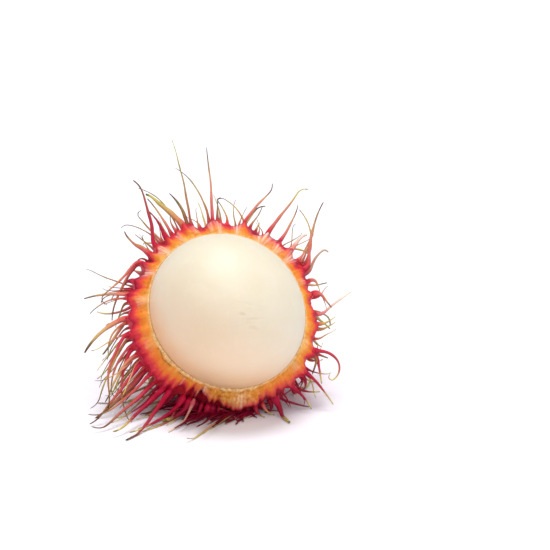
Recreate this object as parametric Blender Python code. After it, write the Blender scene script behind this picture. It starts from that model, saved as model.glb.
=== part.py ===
"""A half-peeled rambutan: a cup of spiny rind lying on a small flat spot, with the ball of flesh in it.

Metres, +Z up. The origin is the middle of the flat spot that the rind rests on, and the opening faces -Y.
"""

import math

import bmesh
import bpy
import numpy as np
from mathutils import Matrix, Vector

MM = 0.001

# How the fruit lies: the opening looks up from level, and to the right of straight ahead.
TILT_UP = math.radians(24.0)
TURN_RIGHT = math.radians(5.0)
FLAT_DEPTH = 0.35 * MM  # how far the rind is pressed flat where it rests

# The fruit is longer one way across the opening, from the upper left to the lower right. The outside of the rind is
# an ellipsoid, given by its radii that way, across that way, and out of the opening.
LONG_CLOCK = math.radians(135.0)
RIND_RADII = np.array((19.7, 18.9, 21.5)) * MM
EDGE_POLAR = math.radians(89.0)  # where the rind was cut, from the opening's axis
EDGE_WAVE = math.radians(1.6)
EDGE_BULGE = 0.45 * MM

# The ball of flesh, its radii in the same order. It sits a little off the rind's middle, by so much to the right, up
# in the opening's plane, and out of it, so the wall is thinner at the upper right.
ARIL_RADII = np.array((16.6, 15.2, 17.8)) * MM
ARIL_OFFSET = np.array((0.55, 0.7, 1.2)) * MM
ARIL_GAP = 0.3 * MM

# Spines: the conical foot, and how a spine leaves the skin and thins towards its tip.
FOOT_RADIUS = 1.45 * MM
FOOT_HEIGHT = 1.1 * MM
FOOT_ROOT = 0.9 * MM  # how deep a foot reaches into the wall
RISE = 2.6 * MM  # a spine leaves square to the skin, and follows its own aim after this
TIP_SHARE = 0.2
CLEARANCE = 0.05 * MM
PATH_STEPS = 40
SPINE_SIDES = 4
SPINE_STATIONS = (0.0, 0.12, 0.35, 0.62, 0.88)

CUP_AROUND = 40
CUP_INSIDE = 9
CUP_OUTSIDE = 11

# The spines round the cut edge, one by one, in degrees and millimetres. clock goes anticlockwise from the right as
# the opening is faced, polar from the opening's axis. heading and turn are in the plane of the opening, hook is
# the turn of the tip, and forward is how far the spine leans out of that plane.
# clock, polar, length, heading, turn, hook, forward, radius
EDGE_SPINES = (
    # top
    (107, 92, 19.4, 97, 8, 0, -6, 0.36),
    (99, 96, 14.4, 93, 47, 0, -14, 0.32),
    (96, 92, 16.8, 88, 3, 0, -4, 0.40),
    (92, 98, 5.5, 96, -20, -40, -10, 0.28),
    (90, 94, 5.2, 93, 5, -50, -6, 0.30),
    (84, 100, 5.0, 96, 25, 0, -12, 0.24),
    (75, 97, 9.6, 108, 50, 70, -8, 0.26),
    (104, 104, 7.0, 116, 20, 0, -25, 0.24),
    # upper right
    (78, 91, 11.0, 39, 30, 0, -5, 0.42),
    (73, 97, 9.0, 46, 20, 0, -18, 0.30),
    (68, 102, 6.0, 62, -30, 90, -25, 0.26),
    (62, 91, 13.8, 50, 3, -70, -6, 0.42),
    (52, 93, 10.0, 52, 28, 0, -12, 0.42),
    (45, 96, 6.5, 52, -36, 0, -8, 0.35),
    (38, 99, 11.5, 62, 95, 0, -18, 0.30),
    (33, 94, 6.8, 62, -10, -110, 4, 0.36),
    (27, 92, 16.2, 83, -18, 0, 4, 0.48),
    # right and lower right
    (22, 101, 5.5, -35, -20, 0, -10, 0.32),
    (13, 93, 5.8, -48, -16, 0, 0, 0.30),
    (1, 95, 9.0, 42, -14, 0, -8, 0.33),
    (-1, 96, 7.0, -84, -6, 0, 0, 0.26),
    (-20, 92, 10.2, -4, -80, -60, 0, 0.38),
    (-23, 97, 5.0, -24, 0, 0, -15, 0.35),
    (-27, 99, 7.0, -70, -12, 0, 0, 0.40),
    (-28, 93, 5.5, -105, 0, 0, 0, 0.25),
    (-36, 93, 10.0, -38, -26, 0, 0, 0.38),
    (-39, 99, 6.0, -62, -40, 0, -12, 0.28),
    (-45, 98, 7.5, -14, 6, 0, 0, 0.33),
    (-47, 92, 7.2, -42, -40, 0, 5, 0.38),
    (-54, 98, 7.5, -12, -15, 0, 0, 0.36),
    (-58, 92, 7.8, -70, -8, 0, 14, 0.74),
    # bottom
    (-66, 94, 6.0, -62, 40, 0, 14, 0.33),
    (-75, 92, 6.0, -66, 10, 0, 20, 0.40),
    (-86, 95, 15.0, 218, -6, 0, 50, 0.24),
    (-91, 92, 15.5, 214, -6, -50, 42, 0.50),
    (-98, 94, 7.5, -106, -12, 0, 34, 0.42),
    (268, 97, 6.5, 262, -20, 60, 24, 0.30),
    (262, 100, 10.0, 236, -30, 30, 36, 0.30),
    (256, 96, 13.5, 232, -44, 0, 34, 0.32),
    (251, 91, 8.5, 234, 6, 0, 22, 0.30),
    (248, 92, 7.8, 243, -4, 0, 26, 0.26),
    (245, 95, 15.0, 224, -6, 0, 42, 0.30),
    # lower left
    (243, 100, 15.0, 222, -16, 20, 32, 0.30),
    (240, 93, 13.0, 250, -60, 0, 30, 0.40),
    (238, 92, 18.6, 232, -22, 0, 34, 0.55),
    (235, 99, 12.5, 233, -10, 0, 34, 0.40),
    (232, 95, 18.5, 225, -24, 0, 30, 0.50),
    (229, 104, 17.5, 222, 6, 0, 14, 0.30),
    (227, 91, 19.4, 224, -32, -20, 24, 0.42),
    (225, 98, 16.0, 218, -20, 0, 24, 0.34),
    (222, 96, 19.6, 219, -14, -50, 22, 0.40),
    (220, 100, 16.5, 232, 8, -30, 20, 0.30),
    (217, 92, 18.2, 226, -30, -20, 16, 0.50),
    (216, 104, 17.0, 216, 12, 0, 4, 0.34),
    (213, 99, 15.5, 236, -6, 0, 14, 0.30),
    (209, 93, 16.5, 230, -20, 0, 10, 0.38),
    (206, 98, 16.0, 232, 10, 0, 8, 0.34),
    (203, 92, 18.0, 236, 72, 0, 5, 0.42),
    (199, 98, 13.5, 238, 30, 40, 6, 0.30),
    (196, 93, 14.8, 222, 56, 0, 0, 0.45),
    (193, 99, 14.5, 240, 10, 0, 0, 0.30),
    (190, 92, 16.4, 226, 46, 0, 8, 0.42),
    (186, 98, 13.0, 236, 18, 0, -2, 0.28),
    (181, 92, 12.2, 194, 40, 0, 4, 0.50),
    (173, 94, 10.6, 160, 70, 0, -6, 0.34),
    (167, 92, 10.2, 172, 24, 0, 0, 0.42),
    (163, 103, 11.8, 168, -26, 0, -10, 0.28),
    (160, 96, 3.4, 188, 20, 0, 0, 0.95),
    # upper left
    (148, 92, 13.8, 219, -4, 110, 4, 0.42),
    (145, 98, 14.6, 228, 40, 0, -6, 0.42),
    (151, 104, 3.6, 130, 0, 0, -20, 0.25),
    (141, 92, 7.2, 146, -26, 0, 4, 0.50),
    (138, 97, 6.5, 143, -8, 0, -12, 0.30),
    (133, 92, 16.4, 84, 56, 60, 4, 0.55),
    (135, 99, 12.0, 122, 44, 25, -12, 0.28),
    (130, 104, 10.0, 136, -20, -110, -20, 0.34),
    (129, 97, 7.5, 108, 60, 0, -8, 0.42),
    (126, 92, 8.5, 98, 42, 0, 0, 0.38),
    (122, 96, 10.5, 116, 18, 0, -8, 0.42),
    (119, 92, 11.8, 112, 40, 0, 6, 0.60),
    (116, 99, 13.8, 108, 38, 0, -14, 0.28),
    (113, 95, 9.0, 96, 44, 0, -4, 0.42),
    (111, 104, 5.5, 150, 0, 0, -20, 0.25),
)

# The spines behind those cover the rest of the rind, evenly spread. At the lower left they are swept over, as the
# edge spines are there, and elsewhere they lean back.
FIELD_SPINES = 88
FIELD_POLAR = (math.radians(107.0), math.radians(174.0))
FIELD_SEED = 11
FIELD_LOWEST = 1.5 * MM  # none grows where the rind lies closer than this to the ground
SWEPT_CLOCK = math.radians(216.0)
SWEPT_HEADING = math.radians(233.0)
SWEPT_WITHIN = math.radians(44.0)
SWEPT_FADE = math.radians(30.0)
LEAN_BACK = 0.95
DROOP = 0.22
GOLDEN_ANGLE = math.pi * (3.0 - math.sqrt(5.0))


def clear_scene():
    for obj in list(bpy.data.objects):
        bpy.data.objects.remove(obj)


def principled(name, colour, roughness):
    material = bpy.data.materials.new(name)
    material.use_nodes = True
    shader = material.node_tree.nodes["Principled BSDF"]
    shader.inputs["Base Color"].default_value = (*colour, 1.0)
    shader.inputs["Roughness"].default_value = roughness
    shader.inputs["Metallic"].default_value = 0.0
    return material


def add_object(name, mesh, material):
    obj = bpy.data.objects.new(name, mesh)
    bpy.context.scene.collection.objects.link(obj)
    mesh.materials.append(material)
    return obj


def smooth(x):
    x = np.clip(x, 0.0, 1.0)
    return x * x * (3.0 - 2.0 * x)


def unit(vectors):
    return vectors / np.linalg.norm(vectors, axis=-1, keepdims=True)


def ball_point(clock, polar):
    """Points of a ball of radius 1: clock runs round the opening's axis, and polar is the angle from that axis."""
    return np.stack([np.sin(polar) * np.cos(clock), np.sin(polar) * np.sin(clock), np.cos(polar)], axis=-1)


def long_axes(axes):
    """The same columns turned about the opening's axis, so that the first points the fruit's long way."""
    cosine, sine = math.cos(LONG_CLOCK), math.sin(LONG_CLOCK)
    right, up, out = axes.T
    return np.column_stack([right * cosine + up * sine, up * cosine - right * sine, out])


def ellipsoid(clock, polar, radii, centre, axes):
    """Points of an ellipsoid whose first radius lies the fruit's long way."""
    return centre + (ball_point(clock - LONG_CLOCK, polar) * radii) @ long_axes(axes).T


def fruit_frame():
    """The rind's middle, and a matrix whose columns point right, up in the opening's plane, and out of it."""
    out = np.array((
        math.sin(TURN_RIGHT) * math.cos(TILT_UP),
        -math.cos(TURN_RIGHT) * math.cos(TILT_UP),
        math.sin(TILT_UP),
    ))
    right = np.array((math.cos(TURN_RIGHT), math.sin(TURN_RIGHT), 0.0))
    axes = np.column_stack([right, np.cross(out, right), out])
    # The lowest point of an ellipsoid lies along its squared radii times the downward direction.
    longways = long_axes(axes)
    down = -longways[2]
    lowest = longways @ (RIND_RADII ** 2 * down / np.linalg.norm(RIND_RADII * down))
    centre = -lowest - np.array((0.0, 0.0, FLAT_DEPTH))
    return centre, axes


def on_rind(clock, polar, centre, axes):
    """Points and outward directions on the outside of the rind."""
    normals = unit(ball_point(clock - LONG_CLOCK, polar) / RIND_RADII) @ long_axes(axes).T
    return ellipsoid(clock, polar, RIND_RADII, centre, axes), normals


def edge_spines(centre, axes):
    """Foot, normal, aim, axis of turn, turn, hook, length and radius of each spine at the cut edge."""
    rows = np.array(EDGE_SPINES, float)
    clock, polar, heading, turn, hook, forward = np.radians(rows[:, [0, 1, 3, 4, 5, 6]]).T
    feet, normals = on_rind(clock, polar, centre, axes)
    aim = ball_point(heading, math.pi / 2.0 - forward) @ axes.T
    axis = np.tile(axes[:, 2], (len(rows), 1))
    return feet, normals, aim, axis, turn, hook, rows[:, 2] * MM, rows[:, 7] * MM


def field_spines(centre, axes):
    """The same for the spines over the rest of the rind: evenly spread, each with its own lean, curl and length."""
    chance = np.random.RandomState(FIELD_SEED)
    count = FIELD_SPINES
    first, last = np.cos(FIELD_POLAR)
    polar = np.arccos(first + (last - first) * (np.arange(count) + 0.5) / count) + chance.uniform(-0.05, 0.05, count)
    clock = np.arange(count) * GOLDEN_ANGLE + chance.uniform(-0.09, 0.09, count)
    feet, normals = on_rind(clock, polar, centre, axes)
    away = np.abs((clock - SWEPT_CLOCK + math.pi) % (2.0 * math.pi) - math.pi)
    sweep = 1.0 - smooth((away - SWEPT_WITHIN) / SWEPT_FADE)
    back = -axes[:, 2] * LEAN_BACK * (1.0 - sweep)[:, None]
    leaning = normals + back + chance.normal(0.0, 0.26, (count, 3)) - np.array((0.0, 0.0, DROOP))
    heading = SWEPT_HEADING + chance.normal(0.0, 0.16, count)
    forward = chance.uniform(-0.1, 0.4, count)
    sweep = (sweep * (1.0 - smooth((polar - 2.0) / 0.7)))[:, None]
    aim = unit(unit(leaning) * (1.0 - sweep) + ball_point(heading, math.pi / 2.0 - forward) @ axes.T * sweep)
    axis = unit(np.cross(aim, chance.normal(0.0, 1.0, (count, 3))))
    turn = chance.uniform(0.25, 0.95, count)
    hook = chance.uniform(0.0, 1.3, count) * (chance.uniform(0.0, 1.0, count) < 0.5)
    length = (chance.uniform(9.5, 13.5, count) + 4.0 * sweep[:, 0]) * MM
    radius = chance.uniform(0.34, 0.52, count) * MM
    kept = feet[:, 2] > FIELD_LOWEST
    return [values[kept] for values in (feet, normals, aim, axis, turn, hook, length, radius)]


def spine_radius(share, length, radius):
    """A wide foot that falls away within a millimetre or so, then an even taper to the tip."""
    taper = radius * (1.0 - (1.0 - TIP_SHARE) * share ** 1.2)
    return taper + (FOOT_RADIUS - radius) * np.exp(-((share * length / FOOT_HEIGHT) ** 1.5))


def spine_paths(spines, centre, axes):
    """Each spine's line from its foot to its tip. It grows in short steps, turning as it goes, and slides along the
    ground or the skin where it meets them."""
    feet, normals, aim, axis, turn, hook, length, radius = spines
    longways = long_axes(axes)
    step = (length / PATH_STEPS)[:, None]
    point = feet
    line = [point]
    for k in range(PATH_STEPS):
        share = (k + 0.5) / PATH_STEPS
        angle = (turn * share ** 1.3 + hook * smooth((share - 0.78) / 0.22))[:, None]
        across = np.cross(axis, aim)
        along = axis * np.sum(axis * aim, axis=1, keepdims=True)
        heading = aim * np.cos(angle) + across * np.sin(angle) + along * (1.0 - np.cos(angle))
        own = smooth(share * length / RISE)[:, None]
        room = spine_radius(share, length, radius)[:, None] * own + CLEARANCE
        after = point + unit(normals * (1.0 - own) + heading * own) * step
        local = (after - centre) @ longways
        inside = np.linalg.norm(local / (RIND_RADII + room), axis=1, keepdims=True)
        local = np.where((inside < 1.0) & (local[:, 2:] < 0.0), local / inside, local)
        after = centre + local @ longways.T
        after[:, 2:] = np.maximum(after[:, 2:], room)
        point = point + unit(after - point) * step
        point[:, 2:] = np.maximum(point[:, 2:], room)
        line.append(point)
    return np.stack(line, axis=1)


def mesh_from(name, bm):
    mesh = bpy.data.meshes.new(name)
    bm.to_mesh(mesh)
    bm.free()
    return mesh


def build_cup(centre, axes):
    """The half shell of rind: from the pole inside, up the inner wall, over the cut edge, and down the skin."""
    aril_centre = centre + axes @ ARIL_OFFSET
    inner_radii = ARIL_RADII + ARIL_GAP
    clock = np.arange(CUP_AROUND) * 2.0 * math.pi / CUP_AROUND
    outer_edge = EDGE_POLAR + EDGE_WAVE * (np.sin(3.0 * clock + 0.6) + 0.6 * np.sin(7.0 * clock)) / 1.6
    inner_edge = outer_edge + ARIL_OFFSET[2] / ARIL_RADII[2]  # the same height, seen from the flesh's own middle
    rings = [
        ellipsoid(clock, math.pi + (inner_edge - math.pi) * k / CUP_INSIDE, inner_radii, aril_centre, axes)
        for k in range(1, CUP_INSIDE + 1)
    ]
    inner_lip, outer_lip = rings[-1], ellipsoid(clock, outer_edge, RIND_RADII, centre, axes)
    for share in (0.3, 0.7):
        lift = axes[:, 2] * EDGE_BULGE * math.sin(math.pi * share)
        rings.append(inner_lip * (1.0 - share) + outer_lip * share + lift)
    rings += [
        ellipsoid(clock, outer_edge + (math.pi - outer_edge) * k / CUP_OUTSIDE, RIND_RADII, centre, axes)
        for k in range(CUP_OUTSIDE)
    ]
    bm = bmesh.new()
    inner_pole = bm.verts.new(aril_centre - axes[:, 2] * inner_radii[2])
    outer_pole = bm.verts.new(centre - axes[:, 2] * RIND_RADII[2])
    loops = [[bm.verts.new(co) for co in ring] for ring in rings]
    for i in range(CUP_AROUND):
        j = (i + 1) % CUP_AROUND
        bm.faces.new((inner_pole, loops[0][i], loops[0][j]))
        bm.faces.new((outer_pole, loops[-1][j], loops[-1][i]))
        for low, high in zip(loops, loops[1:]):
            bm.faces.new((low[i], high[i], high[j], low[j]))
    bmesh.ops.recalc_face_normals(bm, faces=bm.faces)
    return mesh_from("cup", bm)


def add_spine(bm, line, normal, length, radius):
    """One spine as a closed, tapering tube, its foot sunk in the wall and its end drawn to a point."""
    points = [line[0] - normal * FOOT_ROOT] + [line[round(share * PATH_STEPS)] for share in SPINE_STATIONS]
    widths = [FOOT_RADIUS * 1.1] + [spine_radius(share, length, radius) for share in SPINE_STATIONS]
    points = [Vector(point) for point in points + [line[-1]]]
    side = Vector(normal).orthogonal().normalized()
    rings = []
    for k, width in enumerate(widths):
        along = (points[k + 1] - points[max(k - 1, 0)]).normalized()
        side = (side - along * side.dot(along)).normalized()
        other = along.cross(side)
        corners = [2.0 * math.pi * n / SPINE_SIDES for n in range(SPINE_SIDES)]
        rings.append([
            bm.verts.new(points[k] + (side * math.cos(c) + other * math.sin(c)) * float(width)) for c in corners
        ])
    tip = bm.verts.new(points[-1])
    bm.faces.new(rings[0][::-1])
    for k in range(SPINE_SIDES):
        n = (k + 1) % SPINE_SIDES
        for low, high in zip(rings, rings[1:]):
            bm.faces.new((low[k], low[n], high[n], high[k]))
        bm.faces.new((rings[-1][k], rings[-1][n], tip))


def build_spines(centre, axes):
    spines = [np.concatenate(pair) for pair in zip(edge_spines(centre, axes), field_spines(centre, axes))]
    normals, length, radius = spines[1], spines[6], spines[7]
    bm = bmesh.new()
    for i, line in enumerate(spine_paths(spines, centre, axes)):
        add_spine(bm, line, normals[i], length[i], radius[i])
    return mesh_from("spine_tool", bm)


def build_ground():
    """What lies below the ground, cut away to leave the flat spot."""
    depth, span = 20.0 * MM, 160.0 * MM
    bm = bmesh.new()
    place = Matrix.Translation((0.0, 0.0, -depth / 2.0)) @ Matrix.Diagonal((span, span, depth, 1.0))
    bmesh.ops.create_cube(bm, size=1.0, matrix=place)
    return mesh_from("ground_tool", bm)


def add_boolean(obj, name, operation, tool):
    modifier = obj.modifiers.new(name, "BOOLEAN")
    modifier.operation = operation
    modifier.object = tool
    return modifier


def build_rind(centre, axes):
    skin = principled("rind_skin", (0.62, 0.03, 0.04), 0.5)
    rind = add_object("rind", build_cup(centre, axes), skin)
    spines = add_object("spine_tool", build_spines(centre, axes), skin)
    ground = add_object("ground_tool", build_ground(), skin)
    for tool in (spines, ground):
        tool.hide_render = True
        tool.display_type = "WIRE"
    grow = add_boolean(rind, "grow_spines", "UNION", spines)
    grow.use_self = True
    add_boolean(rind, "rest_flat", "DIFFERENCE", ground)


def build_aril(centre, axes):
    flesh = principled("aril_flesh", (0.9, 0.82, 0.68), 0.35)
    bm = bmesh.new()
    middle = Matrix.Translation(Vector(centre + axes @ ARIL_OFFSET))
    turned = Matrix(long_axes(axes).tolist()).to_4x4()
    place = middle @ turned @ Matrix.Diagonal((*ARIL_RADII.tolist(), 1.0))
    bmesh.ops.create_uvsphere(bm, u_segments=32, v_segments=18, radius=1.0, matrix=place)
    mesh = mesh_from("aril", bm)
    mesh.shade_smooth()
    add_object("aril", mesh, flesh)


def main():
    clear_scene()
    centre, axes = fruit_frame()
    build_aril(centre, axes)
    build_rind(centre, axes)


main()
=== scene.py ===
import math

import bpy
import numpy as np
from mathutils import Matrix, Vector


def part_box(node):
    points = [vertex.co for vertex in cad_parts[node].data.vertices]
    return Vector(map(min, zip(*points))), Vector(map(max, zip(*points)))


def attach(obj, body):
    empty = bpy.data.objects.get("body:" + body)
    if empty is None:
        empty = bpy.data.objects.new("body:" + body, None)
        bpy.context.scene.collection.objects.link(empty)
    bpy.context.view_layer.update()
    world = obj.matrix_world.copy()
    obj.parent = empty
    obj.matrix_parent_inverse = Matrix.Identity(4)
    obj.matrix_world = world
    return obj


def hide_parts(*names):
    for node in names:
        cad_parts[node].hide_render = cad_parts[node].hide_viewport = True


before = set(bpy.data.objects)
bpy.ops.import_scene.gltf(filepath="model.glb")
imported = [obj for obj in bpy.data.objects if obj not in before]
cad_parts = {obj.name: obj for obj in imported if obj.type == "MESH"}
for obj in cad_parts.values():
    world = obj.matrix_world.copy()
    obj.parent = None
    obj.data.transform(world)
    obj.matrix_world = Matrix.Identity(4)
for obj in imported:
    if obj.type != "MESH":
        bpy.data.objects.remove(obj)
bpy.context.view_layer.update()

mm = 0.001

fruit = {
    "tiltUp": 24,  # degrees that the opening looks up from level
    "turnRight": 5,
    "longClock": 135,  # degrees round the opening to the fruit's longest radius
    "rindRadii": (19.7, 18.9, 21.5),  # mm: the long way, across it, and out of the opening
    "fleshRadii": (16.6, 15.2, 17.8),
    # mm from the rind's middle to the flesh's: right, up in the opening's plane, and out of it
    "fleshOffset": (0.55, 0.7, 1.2),
    "edgePolar": 89,  # degrees from the opening's axis to the torn edge
    "edgeWave": 1.6,  # degrees that the torn edge strays from there
}


def smooth(x):  # 3x^2 - 2x^3 between 0 and 1, and level outside them
    x = np.clip(x, 0, 1)
    return x * x * (3 - 2 * x)


def hill(x, middle, width):  # a bell: e to the minus square of the distance from its middle in widths
    return np.exp(-(((x - middle) / width) ** 2))


def unit(v):  # each vector over its length
    return v / np.linalg.norm(v, axis=-1, keepdims=True)


def ballPoint(clock, polar):
    # a point of a ball of radius 1: clock runs round the axis, and polar is the angle from it
    clock, polar = np.broadcast_arrays(clock, polar)
    return np.stack([np.sin(polar) * np.cos(clock), np.sin(polar) * np.sin(clock), np.cos(polar)], axis=-1)


def clockAway(clock, middle):  # degrees from a place round the clock, the short way
    return (np.degrees(clock) - middle + 180) % 360 - 180


def clockHills(clock, *hills):
    # a sum of bells round the clock, each with its middle and width in degrees and its height
    return sum(height * hill(clockAway(clock, middle), 0, width) for middle, width, height in hills)


def ripple(points, wavelength, seed, waves=14):
    # sum of cosine waves of about one wavelength, each in its own random direction, brought to about -1 to 1
    chance = np.random.RandomState(seed)
    direction = unit(chance.normal(0, 1, (waves, 3)))
    pace = math.tau / wavelength * chance.uniform(0.7, 1.4, (waves, 1))
    phase = chance.uniform(0, math.tau, waves)
    return np.cos(points @ (direction * pace).T + phase).sum(axis=-1) / math.sqrt(waves)


def openingAxes():
    # out follows both angles, right is level, and up is square to both
    tilt, turn = math.radians(fruit["tiltUp"]), math.radians(fruit["turnRight"])
    out = np.array((math.sin(turn) * math.cos(tilt), -math.cos(turn) * math.cos(tilt), math.sin(tilt)))
    right = np.array((math.cos(turn), math.sin(turn), 0))
    return np.column_stack([right, np.cross(out, right), out])


axes = openingAxes()
longTurn = math.radians(fruit["longClock"])
longAxes = np.column_stack([  # the same columns turned about the axis, so that the first points the long way
    axes[:, 0] * math.cos(longTurn) + axes[:, 1] * math.sin(longTurn),
    axes[:, 1] * math.cos(longTurn) - axes[:, 0] * math.sin(longTurn),
    axes[:, 2],
])
rindRadii = np.array(fruit["rindRadii"]) * mm
fleshRadii = np.array(fruit["fleshRadii"]) * mm
fleshCentre = np.mean(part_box("aril"), axis=0)  # an ellipsoid's middle is its box's middle
rindCentre = fleshCentre - axes @ np.array(fruit["fleshOffset"]) * mm


def ellipsoid(clock, polar, radii, middle):  # a ball's points times the radii, the first along the long way
    return middle + (ballPoint(clock - longTurn, polar) * radii) @ longAxes.T


def onRind(clock, polar):  # points and outward directions on the rind's smooth outside
    normals = unit(ballPoint(clock - longTurn, polar) / rindRadii) @ longAxes.T
    return ellipsoid(clock, polar, rindRadii, rindCentre), normals


# colours and nodes


def linear(code):  # sRGB hex to linear: a power curve above 0.04, a straight line below
    channels = np.array([int(code[i:i + 2], 16) / 255 for i in (1, 3, 5)])
    lit = np.where(channels > 0.04045, ((channels + 0.055) / 1.055) ** 2.4, channels / 12.92)
    return (*(float(v) for v in lit), 1)


def feed(tree, node, inputs):  # each input is a value to set, a hex colour, or a socket to link
    for name, value in inputs.items():
        if isinstance(value, bpy.types.NodeSocket):
            tree.links.new(value, node.inputs[name])
        else:
            node.inputs[name].default_value = linear(value) if isinstance(value, str) else value


def addNode(tree, kind, output, inputs, stops=None, **settings):
    # kind is the node's type without ShaderNode, stops are a colour ramp's places and hex colours, and the
    # result is the named output
    made = tree.nodes.new("ShaderNode" + kind)
    for name, value in settings.items():
        setattr(made, name, value)
    feed(tree, made, inputs)
    if stops:
        elements = made.color_ramp.elements
        while len(elements) < len(stops):
            elements.new(0.5)
        for element, (place, code) in zip(elements, stops):
            element.position = place
            element.color = linear(code)
    return made.outputs[output]


def layered(tree, colour, layers):
    # a layer's share over the colour runs from 0 to its most as its driver goes from begin to end
    for driver, begin, end, most, over in layers:
        share = addNode(tree, "MapRange", "Result", {"Value": driver, 1: begin, 2: end, 4: most})
        colour = addNode(tree, "Mix", 2, {0: share, 6: colour, 7: over}, data_type="RGBA")
    return colour


def newObject(name, data):  # it stands at the origin, unturned, until it is placed
    made = bpy.data.objects.new(name, data)
    bpy.context.scene.collection.objects.link(made)
    return made


def newMaterial(name):  # a material, its nodes, and its main shader
    material = bpy.data.materials.new(name)
    material.use_nodes = True
    tree = material.node_tree
    return material, tree, tree.nodes["Principled BSDF"]


# meshes


def ringFaces(rows, columns):  # four-sided faces of a grid whose last column meets its first
    row, column = np.meshgrid(np.arange(rows - 1), np.arange(columns), indexing="ij")
    low, high = row * columns, (row + 1) * columns
    after = (column + 1) % columns
    return np.stack([low + column, low + after, high + after, high + column], axis=-1).reshape(-1, 4)


def fanFaces(ring, tip, turned):  # triangles from a ring of corners to one point
    after, far = np.roll(ring, -1), np.full_like(ring, tip)
    return np.stack([after, ring, far] if turned else [ring, after, far], axis=-1)


def closedFaces(rows, columns):  # a grid of rings, closed by a pole at each end
    count = rows * columns
    return [
        ringFaces(rows, columns),
        fanFaces(np.arange(columns), count, True),
        fanFaces(np.arange(columns) + count - columns, count + 1, False),
    ]


def addPiece(name, points, faceSets, values, material, node):
    # faces are turned round where the volume that they enclose comes out negative
    triangles = np.concatenate([
        np.stack([faces[:, 0], faces[:, k], faces[:, k + 1]], axis=-1)
        for faces in faceSets for k in range(1, faces.shape[1] - 1)
    ])
    a, b, c = (points[triangles[:, k]] for k in range(3))
    if np.sum(a * np.cross(b, c)) < 0:
        faceSets = [faces[:, ::-1] for faces in faceSets]
    sizes = np.concatenate([np.full(len(faces), faces.shape[1]) for faces in faceSets])
    corners = np.concatenate([faces.ravel() for faces in faceSets])
    mesh = bpy.data.meshes.new(name)
    mesh.vertices.add(len(points))
    mesh.vertices.foreach_set("co", points.astype(np.float32).ravel())
    mesh.loops.add(len(corners))
    mesh.loops.foreach_set("vertex_index", corners.astype(np.int32))
    mesh.polygons.add(len(sizes))
    mesh.polygons.foreach_set("loop_start", (np.cumsum(sizes) - sizes).astype(np.int32))
    mesh.polygons.foreach_set("use_smooth", np.ones(len(sizes), bool))
    mesh.update(calc_edges=True)
    for key, value in values.items():
        kind, field = ("FLOAT_VECTOR", "vector") if value.ndim == 2 else ("FLOAT", "value")
        mesh.attributes.new(key, kind, "POINT").data.foreach_set(field, value.astype(np.float32).ravel())
    mesh.materials.append(material)
    piece = newObject(name, mesh)
    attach(piece, "root")
    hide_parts(node)
    print(name, "has", len(triangles), "triangles")
    return piece


# where each spine grows, and its line from foot to tip

growth = {
    "rise": 2.6,  # mm over which a spine leaves square to the skin
    "footRadius": 1.45,
    "footHeight": 1.1,
    "tipShare": 0.2,  # of the radius, left at the tip
    "clearance": 0.05,
    "hookFrom": 0.78,  # of the length, where the hook near the tip starts
    "steps": 40,
    "wander": 0.08,  # mm that a line strays from its even curve
    "kink": 2.5,  # degrees of the one slight bend in each spine
}

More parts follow.
